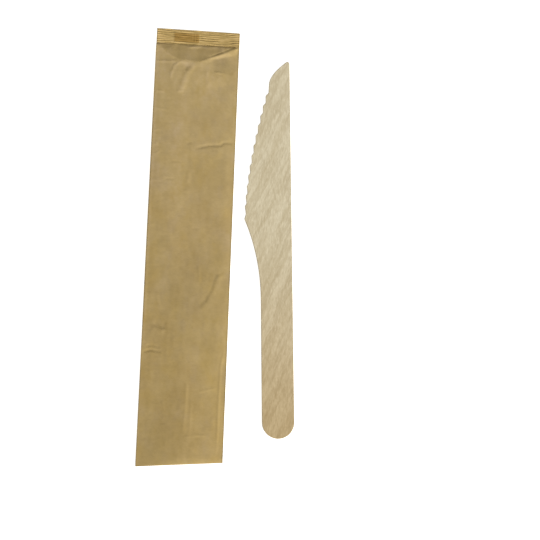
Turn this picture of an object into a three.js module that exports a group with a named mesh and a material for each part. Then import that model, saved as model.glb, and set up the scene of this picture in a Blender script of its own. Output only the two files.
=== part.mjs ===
// Wooden cutlery pack: a sealed kraft-paper pouch with a knife inside it, and the same wooden knife
// lying bare beside it. Millimetres, +Z up. Both pieces lie flat on the plane Z = 0, and the origin
// is the middle of the whole pack's footprint.
import * as THREE from 'three';

// ---- Knife. Its own frame: X = 0 is the straight spine, the blade's edge faces -X, and Y runs from
// the rounded end of the handle (0) to the tip.
const KNIFE_LENGTH = 165;
const KNIFE_THICKNESS = 1.7;
const EDGE_ROUNDING = 0.3;

const HANDLE_WIDTH = 13.75;
const HANDLE_END_DEPTH = 6.9; // length of the half ellipse that ends the handle
const FLARE_AT = 32; // the handle is widest here
const NECK_AT = 59;
const NECK_WIDTH = 13.7;

const HEEL_AT = 94.8;
const HEEL_WIDTH = 20.5;
const SHOULDER_START = 92.2; // where the concave shoulder leaves the heel
const SHOULDER_START_WIDTH = 19.5;
const SHOULDER_BEND_AT = 76.8; // control point of the shoulder's curve

const SERRATIONS = 12;
const FIRST_POINT_AT = 100.3; // the point of the serration nearest the heel
const SERRATION_PITCH = 4.48;
const SERRATION_RISE = 1.2; // length of the short steep side of each tooth, facing the tip
const SERRATION_HOOK = 0.55; // how far the edge draws in behind the points, less towards the tip
const SERRATION_FILLET = 0.32;
const LAST_SERRATION_WIDTH = 10.75;
const HEEL_RISE = 2;
const BLADE_TAPER_POWER = 1.6; // above 1, so the edge bows outward near the heel

const TIP_WIDTH = 9.2;
const TIP_START = 154.5; // the rounded back of the tip starts here
const TIP_BEND_AT = 159.1;
const TIP_NOSE = 1.2; // radius where the tip meets the spine

// ---- Pouch. Its own frame: X from the left fold (0) to the right fold, Y up from the left end of
// the bottom edge. Both ends were cut slightly askew, so the left side is the longer one.
const POUCH_WIDTH = 36.84;
const POUCH_LENGTH = 192.6; // along the left fold
const TOP_CUT_DEG = 1.94; // the top edge drops towards the right fold
const BOTTOM_CUT_DEG = 4.28; // the bottom edge rises towards the right fold

const FOLD_TOP = 0.42; // top and underside of the paper at the folded sides
const FOLD_UNDER = 0.14;
const FOLD_ROUNDING = 0.6;
const LAYERS_OVER_KNIFE = 0.3;
const PLY_STEP = 0.18; // how much the paper lifts where it leaves a folded flap

const SEAL_LENGTH = 6.9; // crimped seal across the top
const SEAL_RIBS = 7;
const SEAL_MIDDLE = 0.24;
const SEAL_THICKNESS = 0.28;
const SEAL_RIB_HEIGHT = 0.1;

const FIN_FREE_EDGE = 7.8; // back seam, folded flat towards the left fold
const FIN_ROOT = 18.9;
const BOTTOM_FLAP = 11.5; // bottom end folded up over the back
const FLAP_FADE = 5; // the paper settles back to the table over this distance
const STEP_WIDTH = 0.3;

const INNER_KNIFE_TOP = 14; // the handle end of the knife inside, below the top edge
const INNER_SPINE_AT = 7.6; // its spine there, from the left fold
const INNER_SPINE_SLOPE = 0.0625; // how fast the spine runs towards the right fold
const SEAL_TO_KNIFE = 9; // length over which the paper rises from the seal to the knife

// ---- Layout on the table.
const POUCH_LEAN_DEG = -2.03;
const KNIFE_LEAN_DEG = 0.61;
const KNIFE_FROM_POUCH = new THREE.Vector2(67.31, 11.6); // handle end on the spine line

const { degToRad, smoothstep, lerp } = THREE.MathUtils;

// ---- Knife shape

// Share of the way from the heel to the last serration's point.
function alongBlade(y) {
  const lastPoint = FIRST_POINT_AT + SERRATION_PITCH * (SERRATIONS - 1);
  return Math.max(0, (y - HEEL_AT) / (lastPoint - HEEL_AT));
}

// Width of the blade from spine to the line that touches the serrations' points.
function bladeWidth(y) {
  const taper = alongBlade(y) ** BLADE_TAPER_POWER;
  return HEEL_WIDTH - (HEEL_WIDTH - LAST_SERRATION_WIDTH) * taper;
}

// Width in the valley on the heel's side of a point.
function valleyWidth(point) {
  const hook = SERRATION_HOOK * Math.max(0, 1 - alongBlade(point)) ** 2;
  return Math.max(TIP_WIDTH, bladeWidth(point) - hook);
}

// Valleys and points of the saw-toothed edge, from the tip's side down to the heel.
function serrationCorners() {
  const corners = [];
  for (let i = SERRATIONS - 1; i >= 0; i -= 1) {
    const point = FIRST_POINT_AT + i * SERRATION_PITCH;
    const valley = point + SERRATION_RISE;
    corners.push(new THREE.Vector2(-valleyWidth(point + SERRATION_PITCH), valley));
    corners.push(new THREE.Vector2(-bladeWidth(point), point));
  }
  corners.push(new THREE.Vector2(-valleyWidth(FIRST_POINT_AT), HEEL_AT + HEEL_RISE));
  corners.push(new THREE.Vector2(-HEEL_WIDTH, HEEL_AT));
  return corners;
}

// A corner of a polyline, rounded by a short curve between the straight runs on its two sides.
function roundedCorner(before, corner, after, fillet, segments) {
  const start = corner.clone().add(before.clone().sub(corner).setLength(fillet));
  const end = corner.clone().add(after.clone().sub(corner).setLength(fillet));
  return new THREE.QuadraticBezierCurve(start, corner, end).getPoints(segments);
}

function knifeShape() {
  const at = (x, y) => new THREE.Vector2(x, y);
  const noseStart = at(0, KNIFE_LENGTH - TIP_NOSE);
  const noseEnd = at(-TIP_NOSE, KNIFE_LENGTH);
  const tipEnd = at(-TIP_WIDTH, TIP_START);
  const shoulderStart = at(-SHOULDER_START_WIDTH, SHOULDER_START);
  const neck = at(-NECK_WIDTH, NECK_AT);

  const nose = new THREE.QuadraticBezierCurve(noseStart, at(0, KNIFE_LENGTH), noseEnd);
  const tip = new THREE.QuadraticBezierCurve(noseEnd, at(-TIP_WIDTH, TIP_BEND_AT), tipEnd);
  const bend = at(-NECK_WIDTH, SHOULDER_BEND_AT);
  const shoulder = new THREE.QuadraticBezierCurve(shoulderStart, bend, neck);
  const radius = HANDLE_WIDTH / 2;
  const handleEnd = new THREE.EllipseCurve(
    -radius, HANDLE_END_DEPTH, radius, HANDLE_END_DEPTH, Math.PI, 2 * Math.PI, false,
  );

  const outline = [...nose.getPoints(4), ...tip.getPoints(10).slice(1)];
  const corners = [tipEnd, ...serrationCorners(), shoulderStart];
  for (let i = 1; i < corners.length - 1; i += 1) {
    const round = roundedCorner(corners[i - 1], corners[i], corners[i + 1], SERRATION_FILLET, 2);
    outline.push(...round);
  }
  outline.push(...shoulder.getPoints(12), at(-HANDLE_WIDTH, FLARE_AT), ...handleEnd.getPoints(20));
  return new THREE.Shape(outline);
}

function knifeGeometry() {
  return new THREE.ExtrudeGeometry(knifeShape(), {
    depth: KNIFE_THICKNESS - 2 * EDGE_ROUNDING,
    bevelEnabled: true,
    bevelThickness: EDGE_ROUNDING,
    bevelSize: EDGE_ROUNDING,
    bevelOffset: -EDGE_ROUNDING,
    bevelSegments: 2,
  }).translate(0, 0, EDGE_ROUNDING);
}

// ---- Pouch shape. across is the distance from the left fold, down the distance below the top edge.

// Width of the knife inside, at a distance from its handle end.
function innerKnifeWidth(fromEnd) {
  const handle = HANDLE_WIDTH * smoothstep(fromEnd, 0, HANDLE_END_DEPTH);
  const shoulder = (HEEL_WIDTH - NECK_WIDTH) * smoothstep(fromEnd, NECK_AT, HEEL_AT);
  const taper = HEEL_WIDTH - bladeWidth(Math.min(fromEnd, TIP_START));
  return handle + shoulder - taper;
}

// How far the front sheet is lifted by the knife: 1 on the knife, 0 at the folds, seal and bottom.
function liftByKnife(across, down, length) {
  const fromEnd = down - INNER_KNIFE_TOP;
  const reach = THREE.MathUtils.clamp(fromEnd, 0, KNIFE_LENGTH);
  const left = INNER_SPINE_AT + INNER_SPINE_SLOPE * reach;
  const right = left + innerKnifeWidth(Math.max(reach, HANDLE_END_DEPTH));
  const sideways = Math.min(1, across / left, (POUCH_WIDTH - across) / (POUCH_WIDTH - right));
  const belowSeal = (down - SEAL_LENGTH) / SEAL_TO_KNIFE;
  const aboveBottom = (length - down) / (length - INNER_KNIFE_TOP - KNIFE_LENGTH);
  const lengthways = smoothstep(Math.min(belowSeal, aboveBottom), 0, 1);
  return Math.max(0, sideways) ** 0.8 * lengthways;
}

function sealWave(down) {
  return down < SEAL_LENGTH ? Math.cos((down / SEAL_LENGTH) * SEAL_RIBS * 2 * Math.PI) : 0;
}

function topHeight(across, down, length) {
  if (down <= SEAL_LENGTH) {
    return SEAL_MIDDLE + SEAL_THICKNESS / 2 + SEAL_RIB_HEIGHT * sealWave(down);
  }
  const overKnife = KNIFE_THICKNESS + LAYERS_OVER_KNIFE;
  return lerp(FOLD_TOP, overKnife, liftByKnife(across, down, length));
}

// The underside lies on the table, apart from where it steps down off the back seam or bottom flap.
function undersideHeight(across, down, length) {
  if (down <= SEAL_LENGTH) {
    return SEAL_MIDDLE - SEAL_THICKNESS / 2 + SEAL_RIB_HEIGHT * sealWave(down);
  }
  const besideFin = Math.max(FIN_FREE_EDGE - across, across - FIN_ROOT);
  const aboveFlap = length - down - BOTTOM_FLAP;
  const offFlaps = Math.max(0, Math.min(besideFin, aboveFlap));
  const step = Math.min(1, offFlaps / STEP_WIDTH);
  const settled = smoothstep(offFlaps, STEP_WIDTH, FLAP_FADE);
  const toFold = Math.min(across, POUCH_WIDTH - across) / FOLD_ROUNDING;
  const roundedFold = FOLD_UNDER * Math.max(0, 1 - toFold);
  return Math.max(PLY_STEP * step * (1 - settled), roundedFold);
}

// Evenly spaced values from start up to, but not including, end.
function spaced(start, end, count) {
  return Array.from({ length: count }, (_, i) => lerp(start, end, i / count));
}

function pouchColumns() {
  return [
    0,
    ...spaced(FOLD_ROUNDING, FIN_FREE_EDGE - STEP_WIDTH, 4),
    FIN_FREE_EDGE - STEP_WIDTH,
    ...spaced(FIN_FREE_EDGE, FIN_ROOT, 5),
    FIN_ROOT,
    ...spaced(FIN_ROOT + STEP_WIDTH, POUCH_WIDTH - FOLD_ROUNDING, 7),
    POUCH_WIDTH - FOLD_ROUNDING,
    POUCH_WIDTH,
  ];
}

// Distances below the top edge, measured along the left fold.
function pouchRows() {
  const kneeBelowSeal = SEAL_LENGTH + SEAL_TO_KNIFE;
  const knifeEnd = INNER_KNIFE_TOP + KNIFE_LENGTH;
  const flapEdge = POUCH_LENGTH - BOTTOM_FLAP;
  return [
    ...spaced(0, SEAL_LENGTH, SEAL_RIBS * 2),
    SEAL_LENGTH,
    ...spaced(SEAL_LENGTH + STEP_WIDTH, kneeBelowSeal, 5),
    ...spaced(kneeBelowSeal, knifeEnd, 22),
    knifeEnd,
    flapEdge - STEP_WIDTH,
    ...spaced(flapEdge, POUCH_LENGTH, 4),
    POUCH_LENGTH,
  ];
}

// A box divided into a grid of columns and rows, whose vertices are then moved into place.
function pouchGeometry() {
  const columns = pouchColumns();
  const rows = pouchRows();
  const lastColumn = columns.length - 1;
  const lastRow = rows.length - 1;
  const geometry = new THREE.BoxGeometry(1, 1, 1, lastColumn, lastRow, 1);
  const position = geometry.getAttribute('position');
  for (let i = 0; i < position.count; i += 1) {
    const across = columns[Math.round((position.getX(i) + 0.5) * lastColumn)];
    const share = rows[Math.round((0.5 - position.getY(i)) * lastRow)] / POUCH_LENGTH;
    const topEdge = POUCH_LENGTH - across * Math.tan(degToRad(TOP_CUT_DEG));
    const bottomEdge = across * Math.tan(degToRad(BOTTOM_CUT_DEG));
    const length = topEdge - bottomEdge;
    const down = share * length;
    const height = position.getZ(i) > 0 ? topHeight : undersideHeight;
    position.setXYZ(i, across, topEdge - down, height(across, down, length));
  }
  geometry.computeVertexNormals();
  return geometry;
}

// ---- The pack

const kraftPaper = new THREE.MeshStandardMaterial({ color: 0xb0986a, roughness: 0.75 });
const birchWood = new THREE.MeshStandardMaterial({ color: 0xcabc9f, roughness: 0.8 });

const pouch = new THREE.Mesh(pouchGeometry(), kraftPaper);
pouch.name = 'kraft_pouch';
pouch.rotation.z = degToRad(POUCH_LEAN_DEG);

const knife = new THREE.Mesh(knifeGeometry(), birchWood);
knife.name = 'wooden_knife';
knife.position.set(KNIFE_FROM_POUCH.x, KNIFE_FROM_POUCH.y, 0);
knife.rotation.z = degToRad(KNIFE_LEAN_DEG);

const pack = new THREE.Group();
pack.add(pouch, knife);

const footprint = new THREE.Box3().setFromObject(pack, true);
const middle = footprint.getCenter(new THREE.Vector3());
pack.position.set(-middle.x, -middle.y, -footprint.min.z);

export default pack;
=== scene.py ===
"""Looks of the wooden cutlery pack: a sealed kraft-paper pouch with a bare birch knife beside it.

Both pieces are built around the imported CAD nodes. The constants of the pouch and the knife are in
millimetres, which MM turns into Blender's metres.
"""

import math

import bpy
import numpy as np
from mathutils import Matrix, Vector, geometry


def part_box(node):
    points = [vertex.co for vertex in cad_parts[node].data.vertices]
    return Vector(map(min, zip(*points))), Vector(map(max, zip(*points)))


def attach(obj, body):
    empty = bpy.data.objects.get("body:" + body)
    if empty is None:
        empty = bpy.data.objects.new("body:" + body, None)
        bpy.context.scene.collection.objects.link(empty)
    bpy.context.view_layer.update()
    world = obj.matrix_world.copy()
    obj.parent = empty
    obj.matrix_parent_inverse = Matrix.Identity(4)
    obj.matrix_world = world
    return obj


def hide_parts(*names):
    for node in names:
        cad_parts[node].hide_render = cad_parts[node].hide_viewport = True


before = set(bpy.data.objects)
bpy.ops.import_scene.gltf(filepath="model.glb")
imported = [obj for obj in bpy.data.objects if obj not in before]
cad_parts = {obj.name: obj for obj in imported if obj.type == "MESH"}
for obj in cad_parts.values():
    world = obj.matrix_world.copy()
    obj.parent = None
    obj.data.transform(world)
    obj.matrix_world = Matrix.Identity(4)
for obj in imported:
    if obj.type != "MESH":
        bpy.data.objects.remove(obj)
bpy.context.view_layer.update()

MM = 0.001

# ---- Camera, floor and lights, in metres
CAMERA_TILT = math.radians(8.38)  # off straight down, towards the near end of the pack
CAMERA_DISTANCE = 0.5507
CAMERA_LENS = 85.0
CAMERA_AIM = Vector((0.02329, -0.01233, 0.0))
FLOOR_SIZE = 8.0
FLOOR_COLOUR = (0.93, 0.93, 0.93, 1.0)
FLOOR_GLOW = 0.75
SKY_COLOUR = (1.0, 0.985, 0.94, 1.0)
SKY_STRENGTH = 0.42
KEY_DIRECTION = Vector((0.64, -0.69, 0.342))
KEY_DISTANCE = 4.0
KEY_SIZE = 1.5
KEY_POWER = 294.0

# ---- Both materials
MATT_SPECULAR = 0.08
BUMP_DEPTH = 0.06 * MM

# ---- Pouch, in millimetres from its left fold (across) and below its top edge (down)
SEAL_LENGTH = 6.9
SEAL_RIBS = 7
SEAL_MIDDLE = 0.24
SEAL_THICKNESS = 0.26
SEAL_RIB_HEIGHT = 0.075
SEAL_EDGE_HEIGHT = 0.50  # front sheet just below the seal, where it swells up from the crimp
SEAL_SMUDGE_AT = 29.0  # the ribs are smudged here, and run aslant from here to the right fold
FIN_IN_SEAL = 0.06  # the fin's extra plies thicken the seal by this much on each side
PATCH_TOP = 1.6  # the darker patch that they leave in the seal
PATCH_LOW = 5.65
FIN_FREE_EDGE = 7.8  # back seam, folded flat towards the left fold
FIN_ROOT = 18.9
BOTTOM_FLAP = 11.5
PLY_STEP = 0.16  # how much the paper lifts where it leaves the seam or the flap
STEP_WIDTH = 0.3
FLAP_FADE = 5.0  # it settles back to the table over this distance
FOLD_RADIUS = 0.3
CURL_REACH = 3.2  # the underside curls up over this distance to a raised fold
CURL_BELOW_FOLD = 0.14
THINNEST = 0.2  # least height of the front sheet over the back sheet
ON_KNIFE = 1.84  # front sheet where it lies on the knife inside

# Heights of the front sheet, (across, down, height): flat facets span these points, and the paper
# is creased along FRONT_CREASES. Points on the folds and along the seal are added by code.
FRONT_POINTS = {
    "facet_left": (1.2, 7.7, 1.20),
    "facet_left_mid": (3.6, 9.9, 1.34),
    "facet_left_low": (7.2, 12.7, 1.56),
    "lip_left": (8.0, 7.7, 0.76),
    "lip_mid": (15.0, 7.7, 0.82),
    "lip_right": (23.0, 7.6, 0.88),
    "lip_end": (29.6, 7.4, 0.84),
    "crest_left": (9.8, 14.0, 1.72),
    "crest_mid": (12.6, 14.3, 1.92),
    "crest_right": (19.4, 15.0, 1.96),
    "ridge_upper": (23.0, 13.4, 1.86),
    "ridge_mid": (27.0, 11.7, 1.68),
    "ridge_lower": (31.0, 9.9, 1.42),
    "ridge_end": (35.2, 7.6, 0.94),
    "facet_upper": (22.0, 12.3, 1.62),
    "facet_lower": (28.6, 9.7, 1.20),
    "facet_end": (32.4, 7.9, 0.92),
    "valley_start": (22.8, 15.4, 1.78),
    "valley_mid": (27.2, 12.9, 1.30),
    "valley_low": (31.2, 11.7, 0.86),
    "valley_end": (35.4, 10.6, 0.52),
    "under_crest": (12.4, 16.6, 1.68),
    "under_crest_right": (17.0, 17.4, 1.72),
    "below_crest": (10.6, 19.6, 1.80),
    "below_crest_right": (20.4, 19.6, 1.82),
    "plateau_left": (25.6, 19.8, 1.86),
    "plateau_mid": (31.0, 19.8, 1.78),
    "plateau_right": (34.4, 20.4, 1.40),
    "left_crest": (1.2, 15.2, 1.46),
    "left_flank": (2.4, 24.0, 1.62),
    "left_flank_mid": (2.4, 98.0, 1.64),
    "left_flank_low": (3.0, 140.0, 1.08),
    "left_flank_end": (3.0, 180.0, 0.70),
    "spine_top": (8.2, 26.0, 1.78),
    "spine_mid": (11.4, 70.0, 1.92),
    "spine_heel": (14.4, 108.0, 1.86),
    "spine_low": (18.6, 156.0, 1.94),
    "knife_tip": (19.4, 177.0, 1.94),
    "grip_top": (21.8, 28.0, 1.86),
    "grip_mid": (20.0, 58.0, ON_KNIFE),
    "grip_low": (17.0, 88.0, 1.86),
    "sag_high": (30.4, 36.0, ON_KNIFE),
    "sag_low": (31.4, 80.0, 1.88),
    "right_flank": (33.6, 54.0, 1.70),
    "right_flank_mid": (33.8, 100.0, 1.74),
    "heel": (33.4, 109.6, 1.82),
    "belly": (25.0, 124.0, 1.92),
    "edge_mid": (33.4, 139.0, 1.76),
    "edge_low": (28.6, 163.0, 1.92),
    "right_flank_low": (33.6, 168.0, 1.68),
    "bottom_left": (7.0, 190.6, 0.92),
    "bottom_mid": (18.8, 190.6, 1.84),
    "bottom_right": (30.0, 190.6, 1.86),
    "bottom_corner": (34.0, 190.6, 1.56),
}
FRONT_CREASES = [
    ("facet_left", "facet_left_mid"),
    ("facet_left_mid", "facet_left_low"),
    ("facet_left_low", "crest_left"),
    ("crest_left", "crest_mid"),
    ("crest_mid", "crest_right"),
    ("crest_right", "ridge_upper"),
    ("ridge_upper", "ridge_mid"),
    ("ridge_mid", "ridge_lower"),
    ("ridge_lower", "ridge_end"),
    ("crest_right", "valley_start"),
    ("valley_start", "valley_mid"),
    ("valley_mid", "valley_low"),
    ("valley_low", "valley_end"),
    ("plateau_left", "plateau_mid"),
    ("left_flank", "left_flank_mid"),
    ("left_flank_mid", "left_flank_low"),
    ("left_flank_low", "left_flank_end"),
    ("spine_top", "spine_mid"),
    ("spine_mid", "spine_heel"),
    ("spine_heel", "spine_low"),
    ("spine_low", "knife_tip"),
    ("knife_tip", "bottom_mid"),
    ("heel", "belly"),
]
LEFT_FOLD_HEIGHT = [
    (6.9, 0.55), (7.6, 1.12), (11.0, 1.24), (15.0, 1.34), (98.0, 1.34), (125.0, 0.95), (150.0, 0.70),
    (190.6, 0.55), (192.6, 0.50),
]
RIGHT_FOLD_HEIGHT = [
    (6.9, 0.30), (12.0, 0.42), (16.0, 0.60), (24.0, 1.15), (110.0, 1.24), (165.0, 1.20), (190.6, 1.15),
    (192.6, 0.70),
]
BOTTOM_FOLD_HEIGHT = 0.70  # the bottom fold starts from this height on the left
BOTTOM_FOLD_RISE = 0.9  # and rises this much for each whole width across, as far as the middle
HIGHEST = 2.02  # the crests of the front sheet flatten off below this
CREST_SOFTENING = 0.12

# The facets are crisp near the seal and soft farther down, by how many times they are averaged.
CRISP_ABOVE = 20.0
SOFT_BELOW = 30.0
CRISP_PASSES = 3
SOFT_PASSES = 40

# Broad patches of painted light and shade on the paper: middle, reach both ways, and how much
# lighter it is there (darker is negative). They stand in for light and shade that the facets don't
# give by themselves, and they stay in the paper whatever the light.
PAINTED_LIGHT_AND_SHADE = [
    ((13.0, 116.0), (9.0, 24.0), -0.05),
    ((30.0, 106.0), (9.0, 16.0), -0.06),
    ((12.0, 62.0), (4.6, 40.0), 0.06),
    ((22.0, 25.0), (6.0, 9.0), 0.08),
    ((4.0, 186.0), (7.0, 18.0), -0.06),
    ((2.4, 12.0), (2.4, 2.6), 0.05),
    ((6.6, 9.4), (2.4, 1.8), -0.10),
    ((10.0, 13.0), (4.0, 1.0), -0.04),
    ((5.0, 22.0), (4.5, 9.0), 0.05),
    ((29.6, 15.2), (4.0, 2.4), -0.12),
    ((28.0, 190.6), (10.0, 2.4), -0.08),
    ((34.0, 64.0), (3.0, 22.0), -0.04),
    ((2.8, 50.0), (1.6, 42.0), 0.06),
    ((4.4, 145.0), (3.4, 6.0), 0.07),
    ((19.0, 120.0), (6.0, 13.0), -0.04),
    ((33.6, 22.0), (2.6, 4.0), -0.07),
    ((12.0, 6.6), (5.0, 0.4), -0.20),
    ((5.0, 7.9), (3.0, 0.6), 0.10),
    ((31.0, 6.8), (3.4, 0.5), 0.16),
    ((23.0, 7.6), (6.5, 0.9), 0.16),
    ((29.4, 8.4), (0.8, 1.5), 0.16),
    ((18.6, 10.6), (2.6, 1.6), 0.07),
    ((21.4, 13.4), (2.6, 1.2), -0.13),
    ((33.4, 10.4), (3.0, 1.8), -0.06),
    ((13.0, 15.9), (5.0, 0.9), 0.10),
]
PAINTED_LIGHT_FALL = 0.08  # painted fall of the light: the paper is made this much darker at the bottom than at the top
MOTTLING = [  # amount, cell across, cell down, seed
    (0.036, 1.9, 2.4, 41),
    (0.034, 0.9, 0.8, 42),
    (0.030, 1.3, 7.0, 43),
]

KRAFT_PLAIN = (0.390, 0.282, 0.126, 1.0)
KRAFT_LIGHT = (0.424, 0.313, 0.150, 1.0)
KRAFT_FIBRE = (0.32, 0.230, 0.095, 1.0)
KRAFT_BROAD = (0.40, 0.300, 0.130, 1.0)
KRAFT_PRESSED_AND_WARM_SHADE = (0.435, 0.303, 0.114, 1.0)  # in the hot-pressed seal; below it, partly heat and partly painted warm shade
KRAFT_PATCH = (0.285, 0.165, 0.038, 1.0)
KRAFT_WARMER = (1.0, 0.985, 0.90, 1.0)  # this and the next three are tints, multiplied in
KRAFT_COOLER = (0.99, 1.0, 1.10, 1.0)
KRAFT_YELLOWER = (1.0, 0.975, 0.88, 1.0)
# paler and cooler, for the painted light in the lightest tones
KRAFT_PAINTED_LIGHT_TINT = (1.0, 1.01, 1.12, 1.0)

# Creases pressed into the front sheet: half width, height of the ridge (a valley is negative), step
# and path. The step is how far the paper on the right of the path, seen from above as it runs, stands
# over the paper on its left.
CREASE_FADE = 0.25  # share of a crease over which it fades in, and out again
PAPER_CREASES = [
    # The V under the seal: its left leg, a short crease off the seal, then its right leg's valley
    # and ridge.
    (0.50, 0.13, 0.0, [(0.0, 7.0), (2.2, 9.2), (6.0, 12.0), (9.6, 14.2)]),
    (0.50, 0.14, 0.0, [(28.0, 6.6), (29.2, 8.4), (30.4, 10.0)]),
    (0.40, -0.12, 0.0, [(22.6, 12.6), (24.6, 11.9), (28.6, 10.1), (32.0, 8.4), (35.0, 6.9)]),
    (0.45, 0.06, 0.0, [(18.6, 15.0), (21.0, 14.4), (24.0, 13.1), (28.0, 11.5), (32.0, 9.6)]),
    # The long crease across the right half, and the bent one from the right fold farther down.
    (0.60, -0.18, 0.0, [(18.0, 54.8), (25.0, 53.0), (30.4, 52.6), (31.8, 51.4), (37.6, 51.4)]),
    (0.80, -0.09, -0.16,
     [(35.6, 109.4), (31.2, 111.0), (30.2, 113.0), (29.2, 117.0), (27.0, 121.6), (23.0, 126.4)]),
    # Low on the left: a step, and a pair of valleys.
    (0.70, 0.0, 0.26, [(4.0, 132.4), (7.0, 133.8), (10.4, 134.6)]),
    (0.50, -0.17, 0.0, [(0.4, 144.0), (4.4, 143.4), (9.4, 144.4)]),
    (0.45, -0.12, 0.0, [(1.5, 141.6), (5.0, 141.3), (8.4, 142.8)]),
    # Low on the right: the long ridge beside the fold, and a short one that meets it.
    (0.45, 0.12, 0.0, [(34.8, 139.0), (35.5, 144.5), (34.4, 151.0), (34.1, 168.0), (34.1, 192.4)]),
    (0.45, 0.07, 0.0, [(24.0, 162.2), (29.0, 161.2), (34.0, 160.2)]),
    # Round the crest: the ridge from the left fold, the arch, the broad ridge down its right side,
    # and small ones about them.
    (0.50, 0.10, 0.0, [(0.2, 15.4), (5.0, 15.3), (8.4, 15.1), (11.0, 14.7)]),
    (0.55, 0.10, 0.0,
     [(7.0, 25.0), (7.4, 20.4), (8.6, 17.2), (10.4, 15.5), (12.2, 14.9), (13.6, 15.6), (14.6, 17.4)]),
    (1.20, 0.18, 0.0, [(20.6, 14.4), (16.8, 17.0), (14.0, 21.0), (12.6, 26.0), (10.2, 31.0)]),
    (0.80, 0.06, 0.0, [(23.4, 17.0), (23.0, 21.0), (24.4, 24.0), (22.6, 27.0)]),
    (0.60, -0.06, 0.0, [(13.0, 17.4), (14.2, 18.8)]),
    (0.60, 0.08, 0.0, [(10.0, 28.6), (13.4, 28.6)]),
    (0.50, 0.13, 0.0, [(13.6, 8.2), (16.6, 7.8), (20.4, 7.5)]),
    (0.50, 0.10, 0.0, [(26.0, 19.2), (30.6, 19.6)]),
    # Small wrinkles over the blade and handle.
    (0.45, -0.08, 0.0, [(15.0, 52.4), (18.0, 51.8)]),
    (0.45, 0.07, 0.0, [(0.4, 57.6), (2.6, 57.2), (4.4, 55.6)]),
    (0.50, 0.07, 0.0, [(2.0, 53.6), (2.8, 51.4)]),
    (0.40, -0.07, 0.0, [(7.6, 60.6), (14.6, 60.8)]),
    (0.40, -0.04, 0.0, [(0.6, 67.6), (6.0, 67.4)]),
    (0.40, -0.06, 0.0, [(6.4, 68.4), (11.6, 68.6)]),
    (0.40, -0.04, 0.0, [(0.6, 70.2), (7.0, 69.8)]),
    (0.40, 0.07, 0.0, [(0.2, 36.6), (4.0, 37.2), (8.4, 37.4)]),
    (0.50, 0.07, 0.0, [(0.2, 29.2), (3.0, 29.0), (5.0, 29.6)]),
    (0.40, 0.05, 0.0, [(0.2, 47.0), (3.0, 46.2), (5.6, 46.6)]),
    (0.50, 0.05, 0.0, [(15.0, 73.6), (19.0, 73.8)]),
    (0.45, 0.06, 0.0, [(0.6, 88.2), (3.4, 88.8)]),
    (0.50, -0.05, 0.0, [(19.4, 90.4), (23.0, 90.2)]),
    (0.70, 0.07, 0.0, [(16.4, 64.4), (17.2, 67.0), (16.6, 70.6)]),
    (0.60, 0.07, 0.0, [(23.0, 105.6), (23.6, 110.0), (23.8, 115.4)]),
    (0.60, 0.06, 0.0, [(5.4, 117.6), (6.4, 122.0), (8.2, 127.2)]),
    # Ridges over the far end of the knife inside.
    (0.55, 0.14, 0.0, [(20.2, 155.0), (20.3, 168.0), (19.4, 181.0)]),
    (0.50, 0.12, 0.0, [(22.4, 165.6), (22.5, 180.0)]),
    (0.45, 0.09, 0.0, [(19.6, 181.2), (25.0, 180.4), (30.6, 181.0)]),
    (0.50, 0.05, 0.0, [(10.0, 164.6), (11.4, 170.0)]),
]

# ---- Knife, in millimetres
KNIFE_ROUNDING = 0.20
KNIFE_FLAT_FROM = KNIFE_ROUNDING + 0.08  # the faces are filled from this far inside the outline
KNIFE_OUTLINE_STEP = 0.22
KNIFE_CORNER_SOFTENING = 0.17
KNIFE_FACE_SPACING = 0.55
SWELL_LEAN = math.radians(23.0)  # clockwise from the knife's length, as the grain leans
GRAIN_LEAN = math.radians(-24.0)
FLECK_TURN = math.radians(5.0)

BIRCH_DARK_BAND = (0.582, 0.504, 0.344, 1.0)
BIRCH_LIGHT_BAND = (0.650, 0.575, 0.411, 1.0)
BIRCH_STREAK = (0.475, 0.395, 0.250, 1.0)
BIRCH_LIGHT_FLECK = (0.78, 0.70, 0.52, 1.0)
BIRCH_DARK_FLECK = (0.43, 0.350, 0.215, 1.0)
BIRCH_FINE_GRAIN = (0.45, 0.365, 0.225, 1.0)
# the cut rim: end grain, with painted shade along the edge
BIRCH_RIM_AND_EDGE_SHADE = (0.33, 0.270, 0.180, 1.0)
# darker down the handle: partly the wood's colour, partly painted shade
BIRCH_HANDLE_TINT_AND_SHADE = (0.77, 0.665, 0.515, 1.0)


# ---------------------------------------------------------------- small helpers

def smoothstep(value, low, high):
    """0 below low, 1 above high, and a smooth rise between them."""
    t = np.clip((value - low) / (high - low), 0.0, 1.0)
    return t * t * (3.0 - 2.0 * t)


def bell(distance, reach):
    """1 at distance 0, falling off smoothly on both sides."""
    return np.exp(-((distance / reach) ** 2))


def value_noise(x, y, seed):
    """Smooth noise from -1 to 1 over one-unit cells, the same for the same seed."""
    size = 256
    lattice = np.random.RandomState(seed).uniform(-1.0, 1.0, (size, size))
    column = np.floor(x).astype(int)
    row = np.floor(y).astype(int)
    fx = x - column
    fy = y - row
    fx = fx * fx * (3.0 - 2.0 * fx)
    fy = fy * fy * (3.0 - 2.0 * fy)
    c0, c1 = column % size, (column + 1) % size
    r0, r1 = row % size, (row + 1) % size
    near = lattice[r0, c0] * (1 - fx) + lattice[r0, c1] * fx
    far = lattice[r1, c0] * (1 - fx) + lattice[r1, c1] * fx
    return near * (1 - fy) + far * fy


def new_object(name, vertices, faces):
    mesh = bpy.data.meshes.new(name)
    mesh.from_pydata(vertices, [], faces)
    mesh.validate()
    mesh.shade_smooth()
    obj = bpy.data.objects.new(name, mesh)
    bpy.context.scene.collection.objects.link(obj)
    return obj


def set_attribute(obj, name, values):
    """One number for each vertex, which the object's material can read."""
    obj.data.attributes.new(name, "FLOAT", "POINT").data.foreach_set("value", values)


# ---------------------------------------------------------------- node materials

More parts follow.
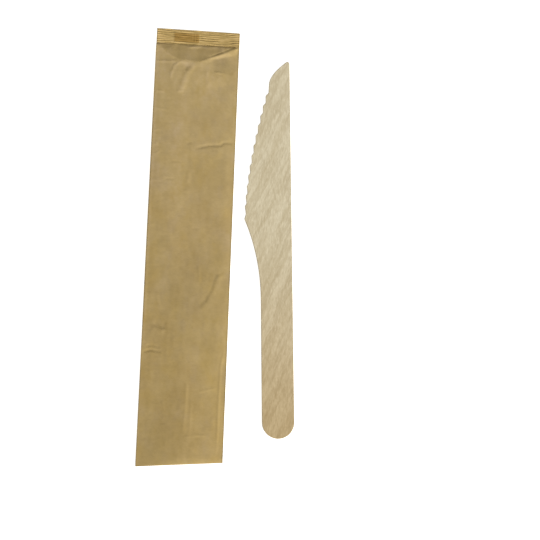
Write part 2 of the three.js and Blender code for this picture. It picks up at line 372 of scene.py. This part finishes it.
class Nodes:
    """A material's node tree, with short calls for the nodes that the materials use."""

    def __init__(self, name):
        self.material = bpy.data.materials.new(name)
        self.material.use_nodes = True
        self.tree = self.material.node_tree
        self.shader = self.tree.nodes["Principled BSDF"]

    def add(self, kind, inputs=None, **settings):
        node = self.tree.nodes.new(kind)
        for key, value in settings.items():
            setattr(node, key, value)
        for key, value in (inputs or {}).items():
            self.put(node, key, value)
        return node

    def put(self, node, key, value):
        socket = node.inputs[key]
        if isinstance(value, bpy.types.NodeSocket):
            self.tree.links.new(value, socket)
        else:
            socket.default_value = value

    def math(self, operation, a, b):
        return self.add("ShaderNodeMath", {0: a, 1: b}, operation=operation).outputs[0]

    def axis(self, vector, index):
        return self.add("ShaderNodeSeparateXYZ", {0: vector}).outputs[index]

    def seen_from(self, vector, corner, lean):
        """The vector as measured from a corner on the table, along axes turned by lean."""
        inputs = {"Vector": vector, "Location": (corner.x, corner.y, 0), "Rotation": (0, 0, lean)}
        return self.add("ShaderNodeMapping", inputs, vector_type="TEXTURE").outputs[0]

    def stretch(self, vector, scale, shift=(0, 0, 0)):
        """The vector scaled on each axis: a scale below 1 draws a pattern out along that axis."""
        inputs = {"Vector": vector, "Location": shift, "Scale": scale}
        return self.add("ShaderNodeMapping", inputs, vector_type="POINT").outputs[0]

    def noise(self, vector, scale, detail, roughness):
        inputs = {"Vector": vector, "Scale": scale, "Detail": detail, "Roughness": roughness}
        return self.add("ShaderNodeTexNoise", inputs).outputs["Fac"]

    def ramp(self, value, low, high, to_low=0.0, to_high=1.0):
        inputs = {"Value": value, "From Min": low, "From Max": high, "To Min": to_low,
                  "To Max": to_high}
        return self.add("ShaderNodeMapRange", inputs, interpolation_type="SMOOTHSTEP").outputs[0]

    def mix(self, factor, a, b, blend="MIX"):
        node = self.add("ShaderNodeMix", data_type="RGBA", blend_type=blend)
        for socket, value in ((0, factor), (6, a), (7, b)):
            self.put(node, socket, value)
        return node.outputs[2]

    def tinted(self, base, tint):
        return self.mix(1.0, base, tint, "MULTIPLY")

    def attribute(self, name):
        return self.add("ShaderNodeAttribute", attribute_name=name).outputs["Fac"]

    def finish(self, base, roughness, strength, coarse, fine):
        """Connects the colour and roughness, and a bump made of two (height, weight) pairs."""
        self.put(self.shader, "Base Color", base)
        self.put(self.shader, "Roughness", roughness)
        self.put(self.shader, "Specular IOR Level", MATT_SPECULAR)
        parts = [self.math("MULTIPLY", height, weight) for height, weight in (coarse, fine)]
        height = self.math("ADD", parts[0], parts[1])
        inputs = {"Strength": strength, "Distance": BUMP_DEPTH, "Height": height}
        bump = self.add("ShaderNodeBump", inputs).outputs[0]
        self.put(self.shader, "Normal", bump)
        return self.material


# ---------------------------------------------------------------- pouch

def cad_points(node):
    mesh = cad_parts[node].data
    points = np.empty(len(mesh.vertices) * 3)
    mesh.vertices.foreach_get("co", points)
    return points.reshape(-1, 3)


pouch_points = cad_points("kraft_pouch")


def pouch_corner(x, y):
    """The pouch's corner that lies farthest in a direction on the table."""
    return Vector(pouch_points[np.argmax(pouch_points[:, 0] * x + pouch_points[:, 1] * y)][:2])


TOP_LEFT = pouch_corner(-1, 1)
TOP_RIGHT = pouch_corner(1, 1)
BOTTOM_LEFT = pouch_corner(-1, -1)
BOTTOM_RIGHT = pouch_corner(1, -1)
POUCH_LENGTH = (TOP_LEFT - BOTTOM_LEFT).length / MM
POUCH_DOWN = (BOTTOM_LEFT - TOP_LEFT).normalized()
POUCH_ACROSS = Vector((-POUCH_DOWN.y, POUCH_DOWN.x))
POUCH_WIDTH = (TOP_RIGHT - TOP_LEFT).dot(POUCH_ACROSS) / MM


def on_table(across, down):
    """Table coordinates, in metres, of points on the pouch."""
    s = across / POUCH_WIDTH
    t = down / POUCH_LENGTH
    corners = [np.array(c) for c in (TOP_LEFT, TOP_RIGHT, BOTTOM_LEFT, BOTTOM_RIGHT)]
    weights = [(1 - s) * (1 - t), s * (1 - t), (1 - s) * t, s * t]
    return sum(w[..., None] * c for w, c in zip(weights, corners))


def fold_height(table, down):
    return np.interp(down, [d for d, _ in table], [h for _, h in table])


def facet_points():
    """The front sheet's control points: the named ones, then those on the folds and at the seal."""
    points = list(FRONT_POINTS.values())
    for down, _ in LEFT_FOLD_HEIGHT:
        points.append((0.0, down, float(fold_height(LEFT_FOLD_HEIGHT, down))))
    for down, _ in RIGHT_FOLD_HEIGHT:
        points.append((POUCH_WIDTH, down, float(fold_height(RIGHT_FOLD_HEIGHT, down))))
    for share in (0.04, 0.25, 0.5, 0.75, 0.97):
        points.append((share * POUCH_WIDTH, SEAL_LENGTH, SEAL_EDGE_HEIGHT))
    for share in (0.25, 0.5, 0.75):
        height = BOTTOM_FOLD_HEIGHT + BOTTOM_FOLD_RISE * min(share, 0.5)
        points.append((share * POUCH_WIDTH, POUCH_LENGTH, height))
    return points


def front_facets(across, down):
    """Height of the front sheet as flat facets between the control points."""
    points = facet_points()
    index = {name: i for i, name in enumerate(FRONT_POINTS)}
    edges = [(index[a], index[b]) for a, b in FRONT_CREASES]
    flat = [Vector((a, d)) for a, d, _ in points]
    touching = 1e-6
    corners, _, triangles, origins, _, _ = geometry.delaunay_2d_cdt(flat, edges, [], 0, touching)
    heights = [points[o[0]][2] for o in origins]
    result = np.full(across.shape, SEAL_EDGE_HEIGHT)
    for triangle in triangles:
        (x0, y0), (x1, y1), (x2, y2) = [corners[i] for i in triangle]
        area = (x1 - x0) * (y2 - y0) - (x2 - x0) * (y1 - y0)
        w1 = ((across - x0) * (y2 - y0) - (x2 - x0) * (down - y0)) / area
        w2 = ((x1 - x0) * (down - y0) - (across - x0) * (y1 - y0)) / area
        w0 = 1.0 - w1 - w2
        inside = (w0 > -touching) & (w1 > -touching) & (w2 > -touching)
        h0, h1, h2 = [heights[i] for i in triangle]
        result = np.where(inside, w0 * h0 + w1 * h1 + w2 * h2, result)
    return result


def soften(field, passes):
    """Averages each grid point with its neighbours: the stiffness of paper rounds its creases."""
    for _ in range(passes):
        padded = np.pad(field, 1, mode="edge")
        field = (padded[:-2, 1:-1] + padded[2:, 1:-1] + padded[1:-1, :-2] + padded[1:-1, 2:]
                 + 4.0 * padded[1:-1, 1:-1]) / 8.0
    return field


def near_line(across, down, path):
    """Signed distance to a polyline (positive on its right as it runs), and the share along it."""
    best = np.full(across.shape, 1e9)
    signed = np.zeros(across.shape)
    along = np.zeros(across.shape)
    lengths = [math.dist(a, b) for a, b in zip(path, path[1:])]
    travelled = 0.0
    for (a, b), length in zip(zip(path, path[1:]), lengths):
        ux, uy = (b[0] - a[0]) / length, (b[1] - a[1]) / length
        t = np.clip((across - a[0]) * ux + (down - a[1]) * uy, 0.0, length)
        dx = across - (a[0] + t * ux)
        dy = down - (a[1] + t * uy)
        distance = np.hypot(dx, dy)
        closer = distance < best
        best = np.where(closer, distance, best)
        signed = np.where(closer, np.sign(ux * dy - uy * dx) * distance, signed)
        along = np.where(closer, (travelled + t) / sum(lengths), along)
        travelled += length
    return signed, along


def crease_relief(across, down):
    """Height of the small creases, and their painted light on ridges (+) and painted shade in valleys
    (-).
    """
    relief = np.zeros(across.shape)
    crease_light_and_shade = np.zeros(across.shape)
    for width, height, step, path in PAPER_CREASES:
        signed, along = near_line(across, down, path)
        fade = smoothstep(along, 0.0, CREASE_FADE) * (1.0 - smoothstep(along, 1.0 - CREASE_FADE, 1.0))
        ridge = bell(signed, width)
        side = np.tanh(signed / width) * bell(signed, 5 * width)
        relief += fade * (height * ridge + step * 0.5 * side)
        # Painted light and shade of the crease: lighter on a ridge, darker in a valley or at a step.
        crease_light_and_shade += fade * (height - 0.5 * abs(step)) * ridge
    return relief, crease_light_and_shade


def paper_cockle(across, down):
    """Small unevenness of handled paper, with fine wrinkles across it, mostly on the left half."""
    broad = 0.05 * value_noise(across / 9.0, down / 16.0, 11)
    medium = 0.022 * value_noise(across / 4.2, down / 5.0, 12)
    left = 1.0 - smoothstep(across, 6.0, 24.0)
    wrinkle = 0.014 * value_noise(across / 3.6, down / 0.9, 13) * (0.3 + left)
    return broad + medium + wrinkle


def seal_wave(across, down):
    """The crimp's ribs, pressed a little unevenly, aslant at the right end and smudged near it."""
    slip = 0.22 * value_noise(across / 5.0, down / 2.0, 22)
    slant = 0.9 * smoothstep(across, SEAL_SMUDGE_AT, 37.0)
    wave = np.cos((down + slip + slant) / SEAL_LENGTH * SEAL_RIBS * 2.0 * np.pi)
    smudge = 1.0 - 0.8 * bell(across - SEAL_SMUDGE_AT, 0.7)
    return smudge * wave * (0.65 + 1.1 * value_noise(across / 2.6, down / 0.9, 21))


def on_fin(across):
    """1 over the back seam's fin, 0 beside it."""
    past_edge = smoothstep(across, FIN_FREE_EDGE - 0.4, FIN_FREE_EDGE + 0.4)
    return past_edge * (1.0 - smoothstep(across, FIN_ROOT - 0.1, FIN_ROOT + 0.1))


def flatten_crests(height):
    """Heights above HIGHEST - CREST_SOFTENING close in on HIGHEST instead of passing it."""
    start = HIGHEST - CREST_SOFTENING
    flattened = HIGHEST - CREST_SOFTENING * np.exp((start - height) / CREST_SOFTENING)
    return np.where(height > start, flattened, height)


def front_height(across, down):
    facets = front_facets(across, down)
    softer = smoothstep(down, CRISP_ABOVE, SOFT_BELOW)
    body = soften(facets, CRISP_PASSES) * (1.0 - softer) + soften(facets, SOFT_PASSES) * softer
    body = body + crease_relief(across, down)[0] + paper_cockle(across, down)
    wave = SEAL_RIB_HEIGHT * seal_wave(across, down)
    seal = SEAL_MIDDLE + SEAL_THICKNESS / 2 + wave + FIN_IN_SEAL * on_fin(across)
    return np.where(down <= SEAL_LENGTH, seal, flatten_crests(body))


def back_height(across, down):
    """The underside lies on the table, and steps up where it leaves the back seam or bottom flap."""
    beside_fin = np.maximum(FIN_FREE_EDGE - across, across - FIN_ROOT)
    above_flap = POUCH_LENGTH - down - BOTTOM_FLAP
    off_flaps = np.maximum(0.0, np.minimum(beside_fin, above_flap))
    step = np.minimum(1.0, off_flaps / STEP_WIDTH)
    body = PLY_STEP * step * (1.0 - smoothstep(off_flaps, STEP_WIDTH, FLAP_FADE))
    wave = SEAL_RIB_HEIGHT * seal_wave(across, down)
    seal = SEAL_MIDDLE - SEAL_THICKNESS / 2 + wave - FIN_IN_SEAL * on_fin(across)
    return np.where(down <= SEAL_LENGTH, np.maximum(seal, 0.0), body)


def round_off(distance):
    """0 at a fold, rising as a quarter circle to 1 at FOLD_RADIUS from it."""
    t = np.clip(distance / FOLD_RADIUS, 0.0, 1.0)
    return np.sqrt(1.0 - (1.0 - t) ** 2)


def sheet_heights(across, down):
    """Heights of the front and back sheets, which meet at the side folds and the bottom fold."""
    front = front_height(across, down)
    back = back_height(across, down)
    share = across / POUCH_WIDTH
    fold = (fold_height(LEFT_FOLD_HEIGHT, down) * (1 - share)
            + fold_height(RIGHT_FOLD_HEIGHT, down) * share)
    in_seal = down <= SEAL_LENGTH
    fold = np.where(in_seal, SEAL_MIDDLE + SEAL_RIB_HEIGHT * seal_wave(across, down), fold)
    from_side = np.minimum(across, POUCH_WIDTH - across)
    from_bottom = POUCH_LENGTH - down
    # Beside a raised fold the underside curls up to meet it.
    curl = bell(np.minimum(from_side, from_bottom), CURL_REACH)
    back = np.where(in_seal, back, np.maximum(back, (fold - CURL_BELOW_FOLD) * curl))
    front = np.maximum(front, back + THINNEST)
    side = round_off(from_side)
    bottom = round_off(from_bottom)
    front = fold + (front - fold) * side * bottom
    back = np.maximum(fold + (back - fold) * side * bottom, 0.0)
    return front, back


def pouch_grid():
    """Rows and columns of points over the pouch, closer together at the folds and in the seal."""
    near_fold = [0.0, 0.02, 0.08, 0.18, 0.3]
    inner = np.linspace(0.7, POUCH_WIDTH - 0.7, 80)
    columns = np.concatenate([near_fold, inner, [POUCH_WIDTH - c for c in reversed(near_fold)]])
    seal = np.linspace(0.0, SEAL_LENGTH, 44)
    upper = np.linspace(SEAL_LENGTH + 0.12, 22.0, 56)
    lower = np.linspace(22.4, POUCH_LENGTH - 0.7, 368)
    end = [POUCH_LENGTH - c for c in reversed(near_fold)]
    rows = np.concatenate([seal, upper, lower, end])
    return np.meshgrid(columns, rows)


def rib_tone_and_painted_light(across, down):
    """Extra light and dark in the seal: painted light and shade on its ribs and the fin's ribs pressed
    through.
    """
    rib = 0.15 * np.clip(seal_wave(across, down), -1.2, 1.2)
    rib += 0.20 * value_noise(across / 2.4, down / 0.5, 44)
    # A painted light line along the seal's lower edge.
    rib += 0.10 * bell(down - SEAL_LENGTH + 0.8, 0.25)
    fin_ribs = np.cos(across / 1.15 * 2.0 * np.pi) * smoothstep(across, 15.4, 16.0)
    fin_rows = smoothstep(down, 1.2, 1.8) * (1.0 - smoothstep(down, 5.0, 5.8))
    rib += 0.20 * fin_ribs * on_fin(across) * fin_rows
    rib -= 0.12 * smoothstep(across, 29.5, 31.5) * smoothstep(down, 3.6, 5.0)
    return rib


def paper_tone_and_painted_light(across, down):
    """How much lighter or darker the paper is: mottling, the seal, and painted light and shade."""
    from_right = POUCH_WIDTH - across
    # A painted fall of the light down the pack: lighter at the top, darker at the bottom.
    tone_and_painted_light = PAINTED_LIGHT_FALL * (0.5 - down / POUCH_LENGTH)
    # Painted shade along the side folds and along the top and bottom edges.
    tone_and_painted_light -= 0.30 * bell(across, 0.24)
    tone_and_painted_light -= 0.36 * bell(from_right, 0.42)
    tone_and_painted_light -= 0.30 * bell(POUCH_LENGTH - down, 0.30)
    tone_and_painted_light -= 0.22 * bell(down, 0.22)
    # Painted light beside the left fold, fading out low down, and a faint line of it by the right fold.
    tone_and_painted_light += 0.12 * bell(across - 0.9, 0.8) * (1.0 - smoothstep(down, 125.0, 150.0))
    tone_and_painted_light += 0.03 * bell(from_right - 1.0, 0.5)
    # Painted light on the crease ridges and painted shade in their valleys.
    tone_and_painted_light += 0.4 * crease_relief(across, down)[1]
    for amount, cell_across, cell_down, seed in MOTTLING:
        tone_and_painted_light += amount * value_noise(across / cell_across, down / cell_down, seed)
    # Patches of painted light and shade.
    for (middle_across, middle_down), (reach_across, reach_down), amount in PAINTED_LIGHT_AND_SHADE:
        far = ((across - middle_across) / reach_across) ** 2 + ((down - middle_down) / reach_down) ** 2
        tone_and_painted_light += amount * np.exp(-far)
    return 1.0 + np.where(down <= SEAL_LENGTH, tone_and_painted_light + rib_tone_and_painted_light(across, down), tone_and_painted_light)


def build_pouch():
    across, down = pouch_grid()
    xy = on_table(across, down)
    sheets = [np.dstack([xy, height * MM]).reshape(-1, 3) for height in sheet_heights(across, down)]
    tone_and_painted_light = paper_tone_and_painted_light(across, down).ravel()

    # The front and back share the vertices of the side folds and the bottom fold.
    count = across.size
    upper = np.arange(count).reshape(across.shape)
    lower = upper + count
    lower[:, 0] = upper[:, 0]
    lower[:, -1] = upper[:, -1]
    lower[-1, :] = upper[-1, :]
    front_quads = np.dstack([upper[:-1, :-1], upper[1:, :-1], upper[1:, 1:], upper[:-1, 1:]])
    back_quads = np.dstack([lower[:-1, 1:], lower[1:, 1:], lower[1:, :-1], lower[:-1, :-1]])
    wall = np.stack([upper[0, :-1], upper[0, 1:], lower[0, 1:], lower[0, :-1]], axis=1)
    faces = [quads.reshape(-1, 4).tolist() for quads in (front_quads, back_quads, wall)]
    # A quad that touches a shared fold at the cut edge repeats a vertex, and becomes a triangle.
    faces = [list(dict.fromkeys(face)) for group in faces for face in group]
    used = np.unique(np.concatenate([upper.ravel(), lower.ravel()]))
    renumber = np.full(2 * count, -1)
    renumber[used] = np.arange(len(used))
    faces = [[int(renumber[v]) for v in face] for face in faces]
    pouch = new_object("pouch_kraft_paper", np.concatenate(sheets)[used].tolist(), faces)
    # The back sheet takes the front's tones, painted light and shade included.
    set_attribute(pouch, "tone_and_painted_light", np.concatenate([tone_and_painted_light, tone_and_painted_light])[used])
    return pouch


def kraft_material():
    n = Nodes("kraft_paper")
    table = n.add("ShaderNodeTexCoord").outputs["Object"]
    # Metres across and along the pouch, from its top left corner.
    along = n.seen_from(table, TOP_LEFT, math.atan2(POUCH_ACROSS.y, POUCH_ACROSS.x))
    across = n.axis(along, 0)
    # Metres below the top edge, which is cut askew.
    top_edge = TOP_RIGHT - TOP_LEFT
    from_top = n.seen_from(table, TOP_LEFT, math.atan2(top_edge.y, top_edge.x))
    down = n.math("MULTIPLY", n.axis(from_top, 1), -1.0)

    fibre = n.noise(n.stretch(along, (1.0, 2.4, 1.0)), 900.0, 4.0, 0.65)
    cloud = n.noise(along, 110.0, 3.0, 0.55)
    broad = n.noise(n.stretch(along, (1.0, 0.5, 1.0)), 38.0, 2.0, 0.5)
    warmth = n.noise(n.stretch(along, (1.0, 0.6, 1.0), (0.2, 0.4, 0)), 150.0, 3.0, 0.6)
    base = n.mix(n.ramp(cloud, 0.3, 0.7), KRAFT_PLAIN, KRAFT_LIGHT)
    base = n.mix(n.ramp(fibre, 0.35, 0.75, 0.0, 0.3), base, KRAFT_FIBRE)
    base = n.mix(n.ramp(broad, 0.35, 0.7, 0.0, 0.3), base, KRAFT_BROAD)
    base = n.mix(n.ramp(warmth, 0.5, 0.7), base, n.tinted(base, KRAFT_WARMER))
    base = n.mix(n.ramp(warmth, 0.5, 0.3), base, n.tinted(base, KRAFT_COOLER))
    base = n.mix(n.ramp(down, 30.0 * MM, 190.0 * MM), base, n.tinted(base, KRAFT_YELLOWER))

    # The crimped seal was pressed hot, which turns the paper a more golden brown. Below the seal
    # the tint fades out over the facets: partly heat, partly painted warm shade on them.
    in_seal = n.ramp(down, (SEAL_LENGTH - 0.5) * MM, (SEAL_LENGTH + 0.3) * MM, 0.65, 0.0)
    heat_and_warm_shade_below_seal = n.ramp(down, (SEAL_LENGTH + 0.1) * MM, (SEAL_LENGTH + 10.1) * MM, 0.35, 0.0)
    base = n.mix(n.math("ADD", in_seal, heat_and_warm_shade_below_seal), base, KRAFT_PRESSED_AND_WARM_SHADE)
    # Where the fin's extra plies lie in the seal, the press left a darker patch.
    fin_left = n.ramp(across, (FIN_FREE_EDGE - 0.5) * MM, (FIN_FREE_EDGE + 0.5) * MM)
    fin_right = n.ramp(across, (FIN_ROOT - 0.2) * MM, (FIN_ROOT + 0.2) * MM, 1.0, 0.0)
    patch_top = n.ramp(down, (PATCH_TOP - 0.3) * MM, (PATCH_TOP + 0.3) * MM)
    patch_low = n.ramp(down, (PATCH_LOW - 0.35) * MM, (PATCH_LOW + 0.35) * MM, 1.0, 0.0)
    patch_across = n.math("MULTIPLY", fin_left, fin_right)
    patch_down = n.math("MULTIPLY", patch_top, patch_low)
    patch = n.math("MULTIPLY", patch_across, patch_down)
    base = n.mix(n.math("MULTIPLY", patch, 0.8), base, KRAFT_PATCH)

    tone_and_painted_light = n.attribute("tone_and_painted_light")
    # The lightest tones, most of them painted light, are tinted paler and cooler.
    base = n.mix(n.ramp(tone_and_painted_light, 1.05, 1.16), base, n.tinted(base, KRAFT_PAINTED_LIGHT_TINT))
    # The paper's colour is multiplied by its tone, much of which is painted light and shade.
    base = n.tinted(base, n.add("ShaderNodeCombineColor", {0: tone_and_painted_light, 1: tone_and_painted_light, 2: tone_and_painted_light}).outputs[0])
    grain = n.noise(n.stretch(along, (1.0, 3.0, 1.0)), 1500.0, 3.0, 0.6)
    ripple = n.noise(n.stretch(along, (0.12, 1.0, 1.0)), 900.0, 3.0, 0.55)
    roughness = n.ramp(cloud, 0.2, 0.8, 0.84, 0.94)
    return n.finish(base, roughness, 0.35, (grain, 0.6), (ripple, 0.5))


# ---------------------------------------------------------------- knife

def knife_outline():
    """The CAD knife's outline, seen from above, as ordered points in metres."""
    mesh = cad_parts["wooden_knife"].data
    heights = sorted({round(v.co.z, 6) for v in mesh.vertices})
    wall_bottom = max(zip(heights, heights[1:]), key=lambda pair: pair[1] - pair[0])[0]
    neighbours = {}
    for edge in mesh.edges:
        ends = [mesh.vertices[i].co for i in edge.vertices]
        if all(abs(end.z - wall_bottom) < 1e-6 for end in ends):
            a, b = [(round(end.x, 6), round(end.y, 6)) for end in ends]
            neighbours.setdefault(a, set()).add(b)
            neighbours.setdefault(b, set()).add(a)
    start = min(neighbours)
    outline = [start]
    previous, current = None, start
    while True:
        following = sorted(p for p in neighbours[current] if p != previous)[0]
        if following == start:
            break
        outline.append(following)
        previous, current = current, following
    return np.array(outline)


def resample(outline, spacing, smoothing):
    """A closed outline with even spacing, its corners rounded by a Gaussian."""
    closed = np.vstack([outline, outline[:1]])
    steps = np.hypot(*np.diff(closed, axis=0).T)
    travelled = np.concatenate([[0.0], np.cumsum(steps)])
    count = int(round(travelled[-1] / spacing))
    at = np.linspace(0.0, travelled[-1], count, endpoint=False)
    points = np.stack([np.interp(at, travelled, closed[:, i]) for i in (0, 1)], axis=1)
    reach = int(4 * smoothing / spacing)
    offsets = np.arange(-reach, reach + 1)
    weights = np.exp(-0.5 * (offsets * spacing / smoothing) ** 2)
    weights /= weights.sum()
    return sum(w * np.roll(points, -o, axis=0) for w, o in zip(weights, offsets))


def outline_and_inward():
    """The knife's smooth outline, anticlockwise, and the direction inwards at each of its points."""
    outline = resample(knife_outline(), KNIFE_OUTLINE_STEP * MM, KNIFE_CORNER_SOFTENING * MM)
    tangent = np.roll(outline, -1, axis=0) - np.roll(outline, 1, axis=0)
    tangent /= np.hypot(*tangent.T)[:, None]
    following = np.roll(outline, -1, axis=0)
    turning = np.sum(outline[:, 0] * following[:, 1] - following[:, 0] * outline[:, 1])
    if turning < 0:
        outline, tangent = outline[::-1], -tangent[::-1]
    return outline, np.stack([-tangent[:, 1], tangent[:, 0]], axis=1)


def edge_profile(thickness):
    """(inset, height) up the cut edge, from the lower face's rim to the upper face's."""
    r = KNIFE_ROUNDING
    quarter = [i * math.pi / 10 for i in range(6)]
    profile = [(KNIFE_FLAT_FROM, 0.0)]
    profile += [(r * (1 - math.sin(t)), r * (1 - math.cos(t))) for t in quarter]
    profile += [(0.0, thickness * share) for share in (0.35, 0.5, 0.65)]
    profile += [(r * (1 - math.cos(t)), thickness - r + r * math.sin(t)) for t in quarter]
    profile += [(KNIFE_FLAT_FROM, thickness)]
    return profile


def filled(ring):
    """Points that fill a ring, triangles between them, and where each point came from.

    A source below the ring's own count is that point of the ring.
    """
    spacing = KNIFE_FACE_SPACING * MM
    xs = np.arange(ring[:, 0].min(), ring[:, 0].max(), spacing)
    ys = np.arange(ring[:, 1].min(), ring[:, 1].max(), spacing)
    inner = np.array([(x + (spacing / 2 if row % 2 else 0.0), y) for row, y in enumerate(ys) for x in xs])
    flat = [Vector(p / MM) for p in np.vstack([ring, inner])]
    loop = list(range(len(ring)))
    points, _, triangles, origins, _, _ = geometry.delaunay_2d_cdt(flat, [], [loop], 1, 1e-5)
    return np.array([tuple(p) for p in points]) * MM, triangles, [o[0] for o in origins]


def veneer_relief(x, y):
    """Faint swell of a peeled and pressed veneer, in millimetres, running with the grain."""
    along = (x * math.sin(SWELL_LEAN) + y * math.cos(SWELL_LEAN)) / MM
    across = (x * math.cos(SWELL_LEAN) - y * math.sin(SWELL_LEAN)) / MM
    broad = 0.010 * value_noise(across / 1.6, along / 14.0, 31)
    return broad + 0.006 * value_noise(across / 0.7, along / 5.0, 32)


def build_knife():
    low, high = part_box("wooden_knife")
    thickness = (high.z - low.z) / MM
    outline, inward = outline_and_inward()
    profile = edge_profile(thickness)
    count = len(outline)
    vertices = []
    for inset, height in profile:
        vertices += [(x, y, height * MM) for x, y in outline + inward * inset * MM]
    faces = []
    for k in range(len(profile) - 1):
        for i in range(count):
            j = (i + 1) % count
            faces.append((k * count + i, k * count + j, (k + 1) * count + j, (k + 1) * count + i))

    places, triangles, origins = filled(outline + inward * KNIFE_FLAT_FROM * MM)
    relief = veneer_relief(places[:, 0], places[:, 1])
    for top in (True, False):
        base = (len(profile) - 1) * count if top else 0
        renumber = {}
        for triangle in triangles:
            corners = []
            for i in triangle:
                if origins[i] < count:
                    corners.append(base + origins[i])
                    continue
                if i not in renumber:
                    renumber[i] = len(vertices)
                    height = thickness + relief[i] if top else abs(relief[i])
                    vertices.append((places[i, 0], places[i, 1], height * MM))
                corners.append(renumber[i])
            faces.append(tuple(corners) if top else tuple(reversed(corners)))
    knife = new_object("knife_birch", vertices, faces)
    rims = [1.0 - min(1.0, inset / KNIFE_FLAT_FROM) for inset, _ in profile]
    inside = np.zeros(len(vertices) - len(profile) * count)
    set_attribute(knife, "rim", np.concatenate([np.repeat(rims, count), inside]))
    return knife


def birch_material():
    n = Nodes("birch_wood")
    low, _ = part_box("wooden_knife")
    table = n.add("ShaderNodeTexCoord").outputs["Object"]
    grain = n.seen_from(table, low, GRAIN_LEAN)

    # The bands and streaks wander a little sideways, as grain does.
    wander = n.noise(grain, 45.0, 2.0, 0.5)
    wander = n.math("MULTIPLY", n.math("SUBTRACT", wander, 0.5), 6.0 * MM)
    sideways = n.add("ShaderNodeCombineXYZ", {0: wander}).outputs[0]
    moved = n.add("ShaderNodeVectorMath", {0: grain, 1: sideways}, operation="ADD").outputs[0]
    bands = n.noise(n.stretch(moved, (1.0, 0.10, 1.0)), 300.0, 2.0, 0.5)
    streaks = n.noise(n.stretch(moved, (1.0, 0.06, 1.0)), 700.0, 3.0, 0.6)
    # The flecks and the fine grain stand nearer to upright than the streaks.
    upright = n.add("ShaderNodeMapping", {"Vector": table, "Rotation": (0, 0, FLECK_TURN)}).outputs[0]
    flecks = n.noise(n.stretch(upright, (1.0, 0.28, 1.0)), 1500.0, 2.0, 0.55)
    fine = n.noise(n.stretch(upright, (1.0, 0.22, 1.0), (0.3, 0.1, 0)), 2600.0, 2.0, 0.6)
    base = n.mix(n.ramp(bands, 0.36, 0.64), BIRCH_DARK_BAND, BIRCH_LIGHT_BAND)
    base = n.mix(n.ramp(streaks, 0.46, 0.66, 0.0, 0.52), base, BIRCH_STREAK)
    base = n.mix(n.ramp(flecks, 0.52, 0.68, 0.0, 0.34), base, BIRCH_LIGHT_FLECK)
    base = n.mix(n.ramp(flecks, 0.48, 0.34, 0.0, 0.30), base, BIRCH_DARK_FLECK)
    base = n.mix(n.ramp(fine, 0.45, 0.70, 0.0, 0.30), base, BIRCH_FINE_GRAIN)

    # The wood darkens from the shoulder down the handle: partly its own colour, partly a painted fall of
    # the light.
    handle = n.ramp(n.axis(table, 1), low.y - 10.0 * MM, low.y + 105.0 * MM, 1.0, 0.0)
    base = n.mix(handle, base, n.tinted(base, BIRCH_HANDLE_TINT_AND_SHADE))
    # The cut rim is darker and banded through the thickness: partly the ends of the fibres, partly
    # painted shade along the rounded edge.
    plies = n.noise(n.stretch(table, (0.06, 0.06, 1.0)), 2600.0, 2.0, 0.6)
    rim = n.math("MULTIPLY", n.attribute("rim"), n.ramp(plies, 0.3, 0.7, 0.65, 0.95))
    base = n.mix(rim, base, BIRCH_RIM_AND_EDGE_SHADE)
    roughness = n.ramp(streaks, 0.3, 0.7, 0.82, 0.94)
    return n.finish(base, roughness, 0.4, (streaks, 0.8), (flecks, 0.8))


# ---------------------------------------------------------------- stage

def build_floor():
    half = FLOOR_SIZE / 2
    corners = [(-half, -half, 0), (half, -half, 0), (half, half, 0), (-half, half, 0)]
    floor = new_object("floor", corners, [(0, 1, 2, 3)])
    n = Nodes("floor_paint")
    n.put(n.shader, "Base Color", FLOOR_COLOUR)
    n.put(n.shader, "Roughness", 0.9)
    n.put(n.shader, "Specular IOR Level", 0.1)
    n.put(n.shader, "Emission Color", (1.0, 1.0, 1.0, 1.0))
    n.put(n.shader, "Emission Strength", FLOOR_GLOW)
    floor.data.materials.append(n.material)


def build_sky():
    world = bpy.data.worlds.new("studio")
    world.use_nodes = True
    background = world.node_tree.nodes["Background"]
    background.inputs["Color"].default_value = SKY_COLOUR
    background.inputs["Strength"].default_value = SKY_STRENGTH
    bpy.context.scene.world = world


def build_key_light():
    light = bpy.data.lights.new("key", "AREA")
    light.shape = "DISK"
    light.size = KEY_SIZE
    light.energy = KEY_POWER
    key = bpy.data.objects.new("key", light)
    direction = KEY_DIRECTION.normalized()
    key.location = direction * KEY_DISTANCE
    key.rotation_euler = direction.to_track_quat("Z", "Y").to_euler()
    bpy.context.scene.collection.objects.link(key)


def build_camera():
    lens = bpy.data.cameras.new("camera")
    lens.lens = CAMERA_LENS
    lens.sensor_width = 36.0
    lens.clip_start = 0.01
    lens.clip_end = 50.0
    camera = bpy.data.objects.new("camera", lens)
    back = Vector((0.0, -math.sin(CAMERA_TILT), math.cos(CAMERA_TILT)))
    camera.location = CAMERA_AIM + back * CAMERA_DISTANCE
    camera.rotation_euler = (CAMERA_TILT, 0.0, 0.0)
    bpy.context.scene.collection.objects.link(camera)
    bpy.context.scene.camera = camera


# ---------------------------------------------------------------- the pack

bpy.context.scene.view_settings.view_transform = "Standard"
build_sky()
build_floor()
build_key_light()
build_camera()

pouch = build_pouch()
pouch.data.materials.append(kraft_material())
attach(pouch, "root")
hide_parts("kraft_pouch")

knife = build_knife()
knife.data.materials.append(birch_material())
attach(knife, "root")
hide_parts("wooden_knife")
